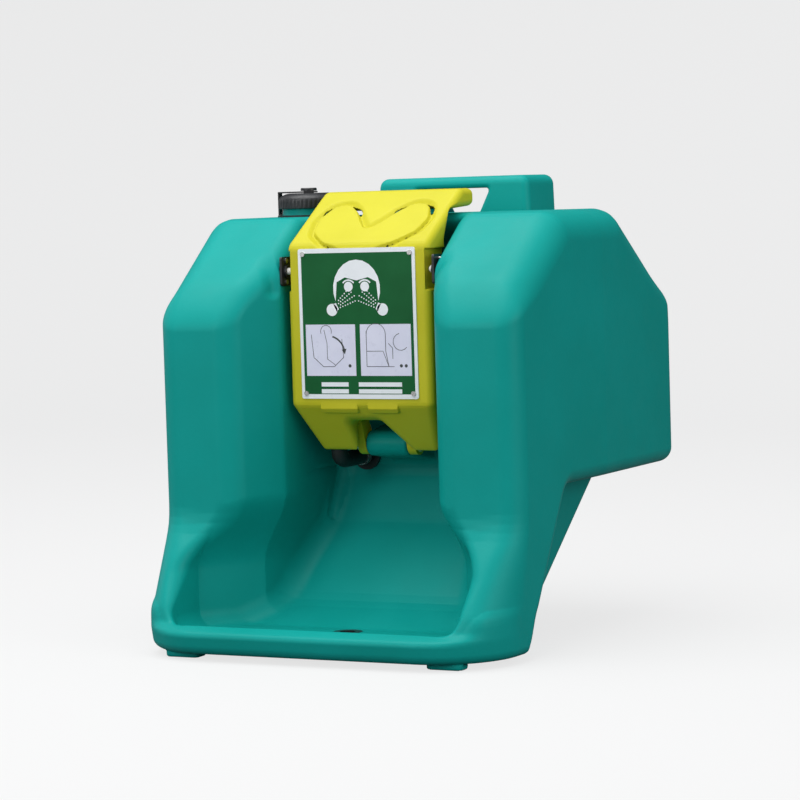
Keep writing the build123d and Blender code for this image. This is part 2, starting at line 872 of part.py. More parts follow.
# ---- catches, one on each recess wall ----
catch_y = y_at(catch_setback)
guide_face = recess_half - catch_thickness - catch_guide
bullet_tip = recess_half - bullet_reach
bullet_tail = bullet_tip + bullet_length
spring_seat = recess_half + barrel_length - barrel_floor
for side, hand in ((-1, "left"), (1, "right")):
    with BuildPart() as catch_plate:
        with BuildSketch(Plane.YZ.offset(side * recess_half)):
            with Locations((catch_y, catch_height)):
                RectangleRounded(catch_width, catch_length, plate_corner)
        extrude(amount=-side * catch_thickness)
        with BuildSketch(Plane.YZ.offset(side * guide_face)):
            with Locations((catch_y, catch_height)):
                Circle(barrel_radius + 1)
        extrude(amount=side * catch_guide)
        with BuildSketch(Plane.YZ.offset(side * (recess_half - 1))):
            with Locations((catch_y, catch_height)):
                Circle(barrel_radius)
        extrude(amount=side * (barrel_length + 1))
        with BuildSketch(Plane.YZ.offset(side * (guide_face - 1))):
            with Locations((catch_y, catch_height)):
                Circle(bullet_radius + bullet_clearance)
        extrude(amount=side * (spring_seat - guide_face + 1), mode=Mode.SUBTRACT)
        with BuildSketch(Plane.YZ.offset(side * recess_half)):
            with Locations((catch_y, catch_height)):
                with GridLocations(1, catch_screw_pitch, 1, 2):
                    Circle(screw_shank + screw_clearance)
        extrude(amount=-side * catch_thickness, mode=Mode.SUBTRACT)
    catch_plate.part.label = "catch_plate_" + hand
    export_step(catch_plate.part, "parts/catch_plate_" + hand + ".step")

    with BuildPart() as catch_bullet:
        with BuildSketch(Plane.YZ.offset(side * bullet_tip)):
            with Locations((catch_y, catch_height)):
                Circle(bullet_radius)
        extrude(amount=side * bullet_length)
        fillet(catch_bullet.faces().sort_by(Axis.X)[-1 if side < 0 else 0].edges(), bullet_nose)
    catch_bullet.part.label = "catch_bullet_" + hand
    export_step(catch_bullet.part, "parts/catch_bullet_" + hand + ".step")

    spring_run = spring_seat - bullet_tail - 2 * spring_wire
    with BuildPart() as catch_spring:
        with BuildLine() as coil:
            Helix(
                pitch=spring_run / spring_coils,
                height=spring_run,
                radius=spring_radius,
                center=(side * (bullet_tail + spring_wire), catch_y, catch_height),
                direction=(side, 0, 0),
            )
        with BuildSketch(Plane(coil.line @ 0, z_dir=coil.line % 0)):
            Circle(spring_wire)
        sweep(is_frenet=True)
    catch_spring.part.label = "catch_spring_" + hand
    export_step(catch_spring.part, "parts/catch_spring_" + hand + ".step")

with BuildPart() as catch_screws:
    for side in (-1, 1):
        with BuildSketch(Plane.YZ.offset(side * (recess_half - catch_thickness))):
            with Locations((catch_y, catch_height)):
                with GridLocations(1, catch_screw_pitch, 1, 2):
                    Circle(screw_head)
        extrude(amount=-side * screw_head_height)
        with BuildSketch(Plane.YZ.offset(side * (recess_half - catch_thickness))):
            with Locations((catch_y, catch_height)):
                with GridLocations(1, catch_screw_pitch, 1, 2):
                    Circle(screw_shank)
        extrude(amount=side * (catch_thickness + catch_screw_length))
catch_screws.part.label = "catch_screws"
export_step(catch_screws.part, "parts/catch_screws.step")

# ---- water path: outlet, hose, manifold and spray heads ----
wall_face = y_at(recess_depth)
flange_face = wall_face - seal_thickness - flange_thickness
barb_radius = hose_outer - hose_wall - 0.05
with BuildPart() as outlet_gasket:
    with BuildSketch(Plane.XZ.offset(-wall_face)):
        with Locations((water_x, outlet_height)):
            Circle(outlet_flange)
            Circle(outlet_thread + screw_clearance, mode=Mode.SUBTRACT)
    extrude(amount=seal_thickness)
outlet_gasket.part.label = "outlet_gasket"
export_step(outlet_gasket.part, "parts/outlet_gasket.step")

with BuildPart() as outlet_fitting:
    with BuildSketch(Plane.XZ.offset(-flange_face)):
        with Locations((water_x, outlet_height)):
            Circle(outlet_flange)
    extrude(amount=-flange_thickness)
    with BuildSketch(Plane.XZ.offset(-flange_face)):
        with Locations((water_x, outlet_height)):
            Circle(outlet_thread)
    extrude(amount=-(flange_thickness + seal_thickness + wall + nut_thickness + 2))
    with BuildSketch(Plane.XZ.offset(-flange_face)):
        with Locations((water_x, outlet_height)):
            Circle(barb_radius)
    extrude(amount=outlet_reach)
    with BuildSketch(Plane.XZ.offset(-flange_face + outlet_reach)):
        with Locations((water_x, outlet_height)):
            Circle(barb_radius - pipe_wall)
    extrude(amount=-2 * outlet_reach - flange_thickness, mode=Mode.SUBTRACT)
outlet_fitting.part.label = "outlet_fitting"
export_step(outlet_fitting.part, "parts/outlet_fitting.step")

with BuildPart() as outlet_nut:
    with BuildSketch(Plane.XZ.offset(-wall_face - wall)):
        with Locations((water_x, outlet_height)):
            RegularPolygon(outlet_flange, nut_sides)
            Circle(outlet_thread + screw_clearance, mode=Mode.SUBTRACT)
    extrude(amount=-nut_thickness)
outlet_nut.part.label = "outlet_nut"
export_step(outlet_nut.part, "parts/outlet_nut.step")

pipe_y = tray_y + hose_outer + clamp_thickness + pipe_gap
hose_start = flange_face - 1
hose_end = pipe_foot + barb_length - 1
with BuildPart() as supply_hose:
    with BuildLine(Plane.YZ.offset(water_x)) as hose_path:
        FilletPolyline(
            (hose_start, outlet_height),
            (pipe_y, outlet_height),
            (pipe_y, hose_end),
            radius=hose_bend,
        )
    with BuildSketch(Plane(hose_path.line @ 0, z_dir=hose_path.line % 0)):
        Circle(hose_outer)
        Circle(hose_outer - hose_wall, mode=Mode.SUBTRACT)
    sweep()
supply_hose.part.label = "supply_hose"
export_step(supply_hose.part, "parts/supply_hose.step")

with BuildPart() as outlet_clamp:
    with BuildSketch(Plane.XZ.offset(-hose_start + clamp_inset)):
        with Locations((water_x, outlet_height)):
            Circle(hose_outer + clamp_thickness)
        with Locations((water_x, outlet_height + hose_outer + 2)):
            Rectangle(clamp_screw_width, clamp_screw_height)
        with Locations((water_x, outlet_height)):
            Circle(hose_outer + 0.05, mode=Mode.SUBTRACT)
    extrude(amount=clamp_width)
outlet_clamp.part.label = "outlet_clamp"
export_step(outlet_clamp.part, "parts/outlet_clamp.step")

with BuildPart() as manifold_clamp:
    with BuildSketch(Plane.XY.offset(hose_end - clamp_inset - clamp_width)):
        with Locations((water_x, pipe_y)):
            Circle(hose_outer + clamp_thickness)
        with Locations((water_x, pipe_y + hose_outer + 2)):
            Rectangle(clamp_screw_width, clamp_screw_height)
        with Locations((water_x, pipe_y)):
            Circle(hose_outer + 0.05, mode=Mode.SUBTRACT)
    extrude(amount=clamp_width)
manifold_clamp.part.label = "manifold_clamp"
export_step(manifold_clamp.part, "parts/manifold_clamp.step")

pipe_start = pipe_foot + barb_length
tee_end = pipe_y + pipe_radius + tee_reach
with BuildPart() as manifold_pipe:
    with BuildLine(Plane.XZ.offset(-pipe_y)) as pipe_path:
        FilletPolyline(
            (water_x, pipe_start),
            (water_x, nozzle_height),
            (nozzle_half_pitch + pipe_radius + pipe_end, nozzle_height),
            radius=1.8 * pipe_radius,
        )
    with BuildSketch(Plane(pipe_path.line @ 0, z_dir=pipe_path.line % 0)):
        Circle(pipe_radius)
    sweep()
    with BuildSketch(Plane.XZ.offset(-pipe_y)):
        with Locations((-nozzle_half_pitch, nozzle_height), (nozzle_half_pitch, nozzle_height)):
            Circle(pipe_radius - 1)
    extrude(amount=-(tee_end - pipe_y))
    with BuildSketch(Plane.XY.offset(pipe_foot)):
        with Locations((water_x, pipe_y)):
            Circle(barb_radius)
    extrude(amount=barb_length)
    with BuildSketch(Plane.XY.offset(pipe_foot)):
        with Locations((water_x, pipe_y)):
            Circle(barb_radius - pipe_wall)
    extrude(amount=barb_length + pipe_radius, mode=Mode.SUBTRACT)
    with BuildSketch(Plane.XZ.offset(-tee_end)):
        with Locations((-nozzle_half_pitch, nozzle_height), (nozzle_half_pitch, nozzle_height)):
            Circle(barb_radius - pipe_wall)
    extrude(amount=pipe_radius, mode=Mode.SUBTRACT)
manifold_pipe.part.label = "manifold_pipe"
export_step(manifold_pipe.part, "parts/manifold_pipe.step")

clip_places = [pipe_start + clip_low_rise, nozzle_height - clip_high_drop]
with BuildPart() as pipe_clips:
    for level in clip_places:
        with BuildSketch(Plane.XY.offset(level)):
            with Locations((water_x, pipe_y)):
                Circle(pipe_radius + clip_thickness)
            with Locations((water_x, tray_y + clip_thickness / 2)):
                Rectangle(4 * pipe_radius, clip_thickness)
            with Locations((water_x, tray_y - pipe_radius)):
                Rectangle(5 * pipe_radius, 2 * pipe_radius, mode=Mode.SUBTRACT)
            with Locations((water_x, pipe_y)):
                Circle(pipe_radius + pipe_gap, mode=Mode.SUBTRACT)
        extrude(amount=clip_width)
pipe_clips.part.label = "pipe_clips"
export_step(pipe_clips.part, "parts/pipe_clips.step")

cup_start = tee_end + nozzle_stem
for side, hand in ((-1, "left"), (1, "right")):
    nozzle_place = (side * nozzle_half_pitch, nozzle_height)
    with BuildPart() as nozzle:
        with BuildSketch(Plane.XZ.offset(-tee_end)):
            with Locations(nozzle_place):
                Circle(pipe_radius)
        extrude(amount=-nozzle_stem)
        with BuildSketch(Plane.XZ.offset(-cup_start)):
            with Locations(nozzle_place):
                Circle(nozzle_radius)
        extrude(amount=-nozzle_length)
        with BuildSketch(Plane.XZ.offset(-cup_start - nozzle_wall)):
            with Locations(nozzle_place):
                Circle(nozzle_radius - nozzle_wall)
        extrude(amount=-nozzle_length, mode=Mode.SUBTRACT)
        with BuildSketch(Plane.XZ.offset(-tee_end)):
            with Locations(nozzle_place):
                Circle(barb_radius - pipe_wall)
        extrude(amount=-nozzle_stem - nozzle_wall, mode=Mode.SUBTRACT)
    nozzle.part.label = "nozzle_" + hand
    export_step(nozzle.part, "parts/nozzle_" + hand + ".step")

    with BuildPart() as spray_disc:
        with BuildSketch(Plane.XZ.offset(-cup_start - nozzle_length + disc_thickness + disc_inset)):
            with Locations(nozzle_place):
                Circle(nozzle_radius - nozzle_wall - 0.1)
                for ring_radius, holes in disc_rings:
                    with PolarLocations(ring_radius, holes):
                        Circle(disc_hole, mode=Mode.SUBTRACT)
        extrude(amount=-disc_thickness)
    spray_disc.part.label = "spray_disc_" + hand
    export_step(spray_disc.part, "parts/spray_disc_" + hand + ".step")

# ---- drain ----
drain_place = (0, y_at(drain_setback))
drain_seat = basin_floor - drain_flange_thickness - seal_thickness
with BuildPart() as drain_gasket:
    with BuildSketch(Plane.XY.offset(drain_seat)):
        with Locations(drain_place):
            Circle(drain_flange)
            Circle(drain_tube + drain_clearance, mode=Mode.SUBTRACT)
    extrude(amount=seal_thickness)
drain_gasket.part.label = "drain_gasket"
export_step(drain_gasket.part, "parts/drain_gasket.step")

with BuildPart() as drain_fitting:
    with BuildSketch(Plane.XY.offset(drain_seat + seal_thickness)):
        with Locations(drain_place):
            Circle(drain_flange)
    extrude(amount=drain_flange_thickness)
    with BuildSketch(Plane.XY.offset(drain_spigot_bottom)):
        with Locations(drain_place):
            Circle(drain_tube)
    extrude(amount=basin_floor - drain_spigot_bottom - 1)
    with BuildSketch(Plane.XY):
        with Locations(drain_place):
            Circle(drain_bore)
    extrude(amount=2 * basin_floor, mode=Mode.SUBTRACT)
drain_fitting.part.label = "drain_fitting"
export_step(drain_fitting.part, "parts/drain_fitting.step")

with BuildPart() as drain_nut:
    with BuildSketch(Plane.XY.offset(base)):
        with Locations(drain_place):
            RegularPolygon(drain_flange + 2, nut_sides)
            Circle(drain_tube + drain_clearance, mode=Mode.SUBTRACT)
    extrude(amount=-nut_thickness)
drain_nut.part.label = "drain_nut"
export_step(drain_nut.part, "parts/drain_nut.step")

# ---- threaded inserts in the wall face ----
with BuildPart() as wall_inserts:
    with BuildSketch(Plane.XZ.offset(-rear_y)):
        with Locations((0, insert_middle)):
            with GridLocations(insert_pitch_x, insert_pitch_z, 2, 2):
                Circle(insert_radius)
    extrude(amount=insert_length)
    with BuildSketch(Plane.XZ.offset(-rear_y)):
        with Locations((0, insert_middle)):
            with GridLocations(insert_pitch_x, insert_pitch_z, 2, 2):
                Circle(insert_bore)
    extrude(amount=insert_length - 2, mode=Mode.SUBTRACT)
wall_inserts.part.label = "wall_inserts"
export_step(wall_inserts.part, "parts/wall_inserts.step")
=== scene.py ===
import json
import math

import bpy
import numpy as np
from mathutils import Matrix, Vector


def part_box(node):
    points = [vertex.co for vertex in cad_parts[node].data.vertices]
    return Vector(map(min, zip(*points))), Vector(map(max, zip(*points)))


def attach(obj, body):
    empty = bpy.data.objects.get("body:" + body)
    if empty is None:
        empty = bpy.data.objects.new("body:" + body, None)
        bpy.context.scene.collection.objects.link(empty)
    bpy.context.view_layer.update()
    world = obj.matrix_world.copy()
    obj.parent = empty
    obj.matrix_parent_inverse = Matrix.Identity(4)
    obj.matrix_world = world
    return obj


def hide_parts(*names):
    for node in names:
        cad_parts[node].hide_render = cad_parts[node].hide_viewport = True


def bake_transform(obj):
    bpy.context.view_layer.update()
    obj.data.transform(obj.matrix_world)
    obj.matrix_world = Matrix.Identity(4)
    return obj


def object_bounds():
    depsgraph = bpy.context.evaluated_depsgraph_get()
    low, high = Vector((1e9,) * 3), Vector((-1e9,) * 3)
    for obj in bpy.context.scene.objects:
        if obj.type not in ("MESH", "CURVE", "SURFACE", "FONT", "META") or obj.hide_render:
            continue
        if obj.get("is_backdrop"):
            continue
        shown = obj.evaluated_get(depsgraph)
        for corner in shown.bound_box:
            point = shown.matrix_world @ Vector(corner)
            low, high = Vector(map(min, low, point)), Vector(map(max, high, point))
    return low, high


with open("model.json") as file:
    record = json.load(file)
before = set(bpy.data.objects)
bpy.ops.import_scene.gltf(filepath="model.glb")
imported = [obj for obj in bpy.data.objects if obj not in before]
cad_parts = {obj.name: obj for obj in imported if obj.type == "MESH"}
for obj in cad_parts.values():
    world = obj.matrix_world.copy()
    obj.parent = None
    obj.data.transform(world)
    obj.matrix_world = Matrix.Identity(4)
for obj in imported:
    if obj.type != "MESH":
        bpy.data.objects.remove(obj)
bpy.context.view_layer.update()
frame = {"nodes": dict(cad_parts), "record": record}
nodes = frame["nodes"]
scene = bpy.context.scene

MM = 0.001
LOBE_Y = -201.0           # front face of the lobes; setbacks s are measured back from it

# Tank body, in mm: half widths, setbacks and heights
BODY_HALF = 260
BODY_FLARE = 10
TANK_REAR = 510
TANK_REAR_ROUND = 34.0
LOBE_ROUND = 32
LIP_ROUND_GAIN = 73
LIP_REACH = 96
CORE_HALF = 205
HANDLE_HALF = 119
HANDLE_TOP = 608
HANDLE_FRONT, HANDLE_REAR = 368, 464
HANDLE_FOOT = 440
GAP_BOTTOM, GAP_TOP = 548, 592
GAP_LOW_HALF = 35
NECK_X, NECK_S = -151, 235
NECK_OUTER, NECK_INNER = 36, 31
NECK_TOP, NECK_FOOT = 584.5, 520
RECESS_HALF = 113
MOUTH_HALF = 151
MOUTH_RUN = 78
FLARE_TOP, FLARE_LOW = 200, 104
FLARE_GAIN = 55
FLOOR_RISE_END = 186
PIVOT_S, PIVOT_Z = 165, 258
PIVOT_BORE = 6.05
LUG_HALF = 30
LUG_ROUND = 17
PIN_REACH = 34
DRAIN_S = 27
DRAIN_SEAT, DRAIN_BORE = 19.2, 13.2
INSERT_X, INSERT_Z, INSERT_RISE = 180, 320, 75
INSERT_BORE, INSERT_FLOOR = 7, 495
CATCH_S, CATCH_Z = 92, 490
CATCH_BORE = 7.1

# Arm, in mm
ARM_FACE = 82
ARM_KNEE = 524
ARM_WALL = 3.6
ARM_TRAY = 136
RELIEF_DEPTH = 4.6
SCREW_X, SCREW_Z, SCREW_RISE = 78.5, 421, 91
SCREW_BORE = 1.7

# Filler cap, in mm
CAP_BORE = 36.6
VENT_BORE = 7.2


# ---------------------------------------------------------------- distance fields

def rounded(corners, arc_step=0.25):
    """Outline points of a polygon whose corners (a, b, radius) are rounded."""
    points = []
    count = len(corners)
    for i in range(count):
        here = np.array(corners[i][:2], float)
        before = np.array(corners[i - 1][:2], float)
        after = np.array(corners[(i + 1) % count][:2], float)
        radius = corners[i][2]
        u = before - here
        v = after - here
        lu, lv = np.linalg.norm(u), np.linalg.norm(v)
        u, v = u / lu, v / lv
        turn = math.acos(max(-1.0, min(1.0, float(u @ v))))
        if radius <= 0 or turn > math.pi - 0.01:
            points.append(here)
            continue
        run = min(radius / math.tan(turn / 2), 0.49 * lu, 0.49 * lv)
        r = run * math.tan(turn / 2)
        middle = (u + v) / np.linalg.norm(u + v)
        centre = here + middle * (r / math.sin(turn / 2))
        a0 = math.atan2(*(here + u * run - centre)[::-1])
        a1 = math.atan2(*(here + v * run - centre)[::-1])
        sweep = (a1 - a0 + math.pi) % (2 * math.pi) - math.pi
        steps = max(2, int(abs(sweep) / arc_step))
        for k in range(steps + 1):
            a = a0 + sweep * k / steps
            points.append(centre + r * np.array([math.cos(a), math.sin(a)]))
    return np.array(points)


def poly(a, b, points):
    """Signed distance of (a, b) to a closed outline, negative inside."""
    a, b = np.broadcast_arrays(np.asarray(a, np.float32), np.asarray(b, np.float32))
    best = np.full(a.shape, 1e12, np.float32)
    inside = np.zeros(a.shape, bool)
    count = len(points)
    for i in range(count):
        ax, ay = points[i - 1]
        bx, by = points[i]
        ex, ey = bx - ax, by - ay
        length = ex * ex + ey * ey
        if length < 1e-9:
            continue
        wx, wy = a - ax, b - ay
        t = np.clip((wx * ex + wy * ey) / length, 0, 1)
        dx, dy = wx - ex * t, wy - ey * t
        np.minimum(best, dx * dx + dy * dy, out=best)
        crosses = (ay > b) != (by > b)
        if ey != 0:
            inside ^= crosses & (a < ex * (b - ay) / ey + ax)
    return np.where(inside, -np.sqrt(best), np.sqrt(best))


def both(a, b, r):
    """Rounded intersection: the edge where the two solids end has radius r."""
    r = np.maximum(r, 0.01)
    return np.minimum(-r, np.maximum(a, b)) + np.hypot(np.maximum(r + a, 0), np.maximum(r + b, 0))


def either(a, b, r):
    """Union with a fillet of radius r in the inner corner."""
    r = np.maximum(r, 0.01)
    return np.maximum(r, np.minimum(a, b)) - np.hypot(np.maximum(r - a, 0), np.maximum(r - b, 0))


def ramp(t, a, b):
    """0 at a, 1 at b, smooth between."""
    t = np.clip((t - a) / (b - a), 0, 1)
    return t * t * (3 - 2 * t)


def disc(a, b, ca, cb, r):
    return np.hypot(a - ca, b - cb) - r


def slab(a, low, high):
    return np.maximum(low - a, a - high)


def surface(field, low, high, step):
    """Vertices and quads of the field's zero surface, from a regular grid."""
    axes = [np.arange(low[i], high[i] + step, step, dtype=np.float32) for i in range(3)]
    v = field(axes[0][:, None, None], axes[1][None, :, None], axes[2][None, None, :])
    v = np.broadcast_to(v, tuple(len(a) for a in axes)).astype(np.float32)
    inside = v < 0
    nx, ny, nz = v.shape
    total = np.zeros((nx - 1, ny - 1, nz - 1), np.int8)
    for i in (0, 1):
        for j in (0, 1):
            for k in (0, 1):
                total += inside[i:nx - 1 + i, j:ny - 1 + j, k:nz - 1 + k]
    cells = np.argwhere((total > 0) & (total < 8))
    index = np.full(total.shape, -1, np.int32)
    index[cells[:, 0], cells[:, 1], cells[:, 2]] = np.arange(len(cells))
    place = np.zeros((len(cells), 3))
    hits = np.zeros(len(cells))
    for axis in range(3):
        others = [k for k in range(3) if k != axis]
        for p in (0, 1):
            for q in (0, 1):
                start = cells.copy()
                start[:, others[0]] += p
                start[:, others[1]] += q
                end = start.copy()
                end[:, axis] += 1
                va = v[start[:, 0], start[:, 1], start[:, 2]]
                vb = v[end[:, 0], end[:, 1], end[:, 2]]
                cross = (va < 0) != (vb < 0)
                t = np.where(cross, va / np.where(cross, va - vb, 1), 0)
                point = start.astype(float)
                point[:, axis] += t
                place[cross] += point[cross]
                hits += cross
    place = place / hits[:, None] * step + np.array(low)
    quads = []
    for axis in range(3):
        a, b = [k for k in range(3) if k != axis]
        lower = [slice(None)] * 3
        upper = [slice(None)] * 3
        lower[axis] = slice(0, -1)
        upper[axis] = slice(1, None)
        first = inside[tuple(lower)]
        second = inside[tuple(upper)]
        where = np.argwhere(first != second)
        keep = (where[:, a] > 0) & (where[:, b] > 0)
        keep &= (where[:, a] < total.shape[a]) & (where[:, b] < total.shape[b])
        where = where[keep]
        solid_first = first[where[:, 0], where[:, 1], where[:, 2]]
        ring = []
        for da, db in ((1, 1), (0, 1), (0, 0), (1, 0)):
            cell = where.copy()
            cell[:, a] -= da
            cell[:, b] -= db
            ring.append(index[cell[:, 0], cell[:, 1], cell[:, 2]])
        ring = np.stack(ring, 1)
        flip = solid_first if axis == 1 else ~solid_first
        ring[flip] = ring[flip][:, ::-1]
        quads.append(ring)
    return place, np.concatenate(quads)


def slopes(field, p, reach):
    g = np.zeros_like(p)
    for k in range(3):
        d = np.zeros(3)
        d[k] = reach
        g[:, k] = (value_at(field, p + d) - value_at(field, p - d)) / (2 * reach)
    return g


def value_at(field, p):
    return np.asarray(field(p[:, 0], p[:, 1], p[:, 2]), float)


def solid_from(name, field, low, high, step, rounds=4):
    """A smooth mesh object of the field's surface, in metres."""
    place, quads = surface(field, low, high, step)
    for _ in range(rounds):
        g = slopes(field, place, 0.15)
        f = value_at(field, place)
        size = np.maximum((g * g).sum(1), 0.05)
        move = -(f / size)[:, None] * g
        far = np.linalg.norm(move, axis=1)
        move *= np.minimum(1, 0.6 * step / np.maximum(far, 1e-6))[:, None]
        place += move
    mesh = bpy.data.meshes.new(name)
    mesh.from_pydata((place * MM).tolist(), [], quads.tolist())
    mesh.update()
    normal = slopes(field, place, 0.6)
    normal /= np.maximum(np.linalg.norm(normal, axis=1), 1e-9)[:, None]
    mesh.polygons.foreach_set("use_smooth", np.ones(len(mesh.polygons), bool))
    mesh.normals_split_custom_set_from_vertices(normal.tolist())
    made = bpy.data.objects.new(name, mesh)
    scene.collection.objects.link(made)
    return made


# ---------------------------------------------------------------- tank body, in mm

FRONT = rounded([
    (-100, 0, 0), (-108, 36, 7), (-84, 46, 12), (0, 164, 46), (0, 620, 0), (40, 620, 0), (40, 0, 0),
])
FRONT_CORNER = rounded([
    (-100, 0, 0), (-108, 36, 7), (-107, 62, 22), (0, 166, 46), (0, 620, 0), (40, 620, 0), (40, 0, 0),
])


def setback_at(z, outline):
    line = outline[outline[:, 0] < 0.5]
    return np.interp(z, line[:, 1], line[:, 0]).astype(np.float32)


PROFILE = rounded([
    (-140, 8, 0), (25, 8, 9), (62, 61, 18), (147, 208, 26), (510, 208, 20), (510, 437, 26),
    (330, 560, 34), (150, 560, 34), (0, 449, 26), (-60, 405, 0), (-140, 405, 0),
])
CORE = rounded([(-20, 8, 0), (118, 8, 12), (385, 208, 0), (385, 236, 0), (-20, 236, 0)])
RECESS_PLAN = rounded([
    (-175, -160, 0), (-151, 0, 0), (-113, 78, 16), (-113, 230, 14),
    (113, 230, 14), (113, 78, 16), (151, 0, 0), (175, -160, 0),
])
RECESS_SIDE = rounded([
    (-200, 150, 0), (196, 150, 0), (230, 212, 20), (230, 488, 16), (158, 560, 10), (158, 640, 0),
    (-200, 640, 0),
])
BASIN_SIDE = rounded([
    (-300, 45, 0), (-86, 45, 3), (-66, 26, 14), (48, 26, 22), (112, 52, 60), (198, 148, 30),
    (230, 212, 20), (230, 300, 0), (-300, 300, 0),
])


def lug_outline():
    """The lug's side outline: a round end and a wider root."""
    points = []
    for k in range(13):
        a = math.radians(90 + 15 * k)
        points.append((PIVOT_S + LUG_ROUND * math.cos(a), PIVOT_Z + LUG_ROUND * math.sin(a)))
    points += [(240, 229), (240, 287)]
    return np.array(points)


LUG = lug_outline()


def body_field(x, y, z):
    s = y - LOBE_Y
    ax = np.abs(x)
    half = BODY_HALF + BODY_FLARE * np.clip(s / BODY_HALF, 0, 1)
    front = setback_at(z, FRONT)
    front = front + (setback_at(z, FRONT_CORNER) - front) * ramp(ax, 185, 245)
    corner = LOBE_ROUND + LIP_ROUND_GAIN * np.clip(-front / LIP_REACH, 0, 1)
    d_front = front - s
    plan = both(ax - half, d_front, corner)
    plan = both(plan, s - TANK_REAR, TANK_REAR_ROUND)
    profile = poly(s, z, PROFILE)
    top = ramp(z, 380, 470)
    low = ramp(z, 60, 20)
    edge = 20 + 20 * top - 8 * low
    block = both(plan, profile, edge)
    core = both(poly(s, z, CORE), ax - CORE_HALF, 14)
    core = both(core, d_front, 10)
    d = np.minimum(block, core)
    # grab handle
    bar = both(ax - (HANDLE_HALF - 0.03 * (z - 448)), z - HANDLE_TOP, 13)
    bar = both(bar, slab(s, HANDLE_FRONT, HANDLE_REAR), 11)
    bar = np.maximum(bar, HANDLE_FOOT - z)
    d = either(d, bar, 12)
    gap = both(ax - (GAP_LOW_HALF + 0.5 * (z - GAP_BOTTOM)), slab(z, GAP_BOTTOM, GAP_TOP), 7)
    # filler neck
    neck = both(disc(x, s, NECK_X, NECK_S, NECK_OUTER), z - NECK_TOP, 2)
    neck = np.maximum(neck, NECK_FOOT - z)
    # recess and basin
    recess = both(poly(x, s, RECESS_PLAN), poly(s, z, RECESS_SIDE), 10)
    flare = ramp(z, FLARE_TOP, FLARE_LOW)
    open_half = MOUTH_HALF - (MOUTH_HALF - RECESS_HALF) * np.clip(s / MOUTH_RUN, 0, 1)
    open_half = open_half + flare * (FLARE_GAIN - 46 * np.clip(s / FLOOR_RISE_END, 0, 1))
    basin = both(poly(s, z, BASIN_SIDE), ax - open_half, 26)
    space = np.minimum(recess, basin)
    # pockets beside the catches
    facet = ax - 121 - 0.08 * (z - 457)
    pocket = both(both(facet, slab(s, 30, 76), 9), 457 - z, 8)
    pocket = np.maximum(pocket, 100 - ax)
    space = either(space, pocket, 6)
    lip = 7 + 16 * ramp(z, 48, 110)
    d = both(d, -space, lip)
    # pivot lug
    lug = poly(s, z, LUG)
    lug = both(lug, ax - LUG_HALF, 3)
    d = either(d, lug, 6)
    # feet
    for fx, fs in ((188, -66), (160, 70)):
        dx = np.abs(ax - fx) - 17
        dy = np.abs(s - fs) - 5
        pad = np.hypot(np.maximum(dx, 0), np.maximum(dy, 0)) - 8
        pad = both(pad, -z, 3)
        d = np.minimum(d, np.maximum(pad, z - 14))
    d = both(d, -np.maximum(gap, slab(s, HANDLE_FRONT - 18, HANDLE_REAR + 16)), 6)
    d = either(d, neck, 5)
    d = both(d, -np.maximum(disc(x, s, NECK_X, NECK_S, NECK_INNER), NECK_FOOT - z), 1.2)
    # seats of the drain, the wall inserts, the catches and the pin
    d = np.maximum(d, -np.maximum(disc(x, s, 0, DRAIN_S, DRAIN_SEAT), slab(z, 21.5, 60)))
    d = np.maximum(d, -np.maximum(disc(x, s, 0, DRAIN_S, DRAIN_BORE), slab(z, -5, 30)))
    bolts = np.hypot(ax - INSERT_X, np.abs(z - INSERT_Z) - INSERT_RISE) - INSERT_BORE
    d = both(d, -np.maximum(bolts, INSERT_FLOOR - s), 0.8)
    barrel = np.maximum(disc(s, z, CATCH_S, CATCH_Z, CATCH_BORE), slab(ax, 100, 129.1))
    d = np.maximum(d, -barrel)
    d = np.maximum(d, -np.maximum(disc(s, z, PIVOT_S, PIVOT_Z, PIVOT_BORE), ax - PIN_REACH))
    return d


# ---------------------------------------------------------------- arm, in mm

ARM_SIDE = rounded([
    (82, 314, 12), (82, 524, 16), (176, 583.5, 26), (190, 592, 16), (225, 592, 8), (225, 569, 8),
    (154, 565, 14), (136, 528, 16), (136, 247, 2),
])
ARM_FRONT = rounded([
    (-86, 247, 7), (-104, 314, 22), (-104, 640, 0), (104, 640, 0), (104, 314, 22), (86, 247, 7),
    (50, 247, 6), (17, 293, 9), (-31, 293, 9), (-31, 247, 5),
])
ARM_PAN = rounded([(86, 315.4, 6), (86, 521, 10), (134, 550, 4), (170, 550, 0), (170, 211.2, 0)])
SLOPE = math.atan2(62, 98)
RELIEF_HALF = [
    (14, 54, 24), (30, 80, 24), (49, 99, 18), (72, 93, 22), (83, 60, 24), (77, 28, 26), (54, 4, 30),
    (27, -5, 30),
]
RELIEF = rounded(
    [(0, 35, 9)] + RELIEF_HALF + [(0, -8, 40)] + [(-u, v, r) for u, v, r in reversed(RELIEF_HALF)])


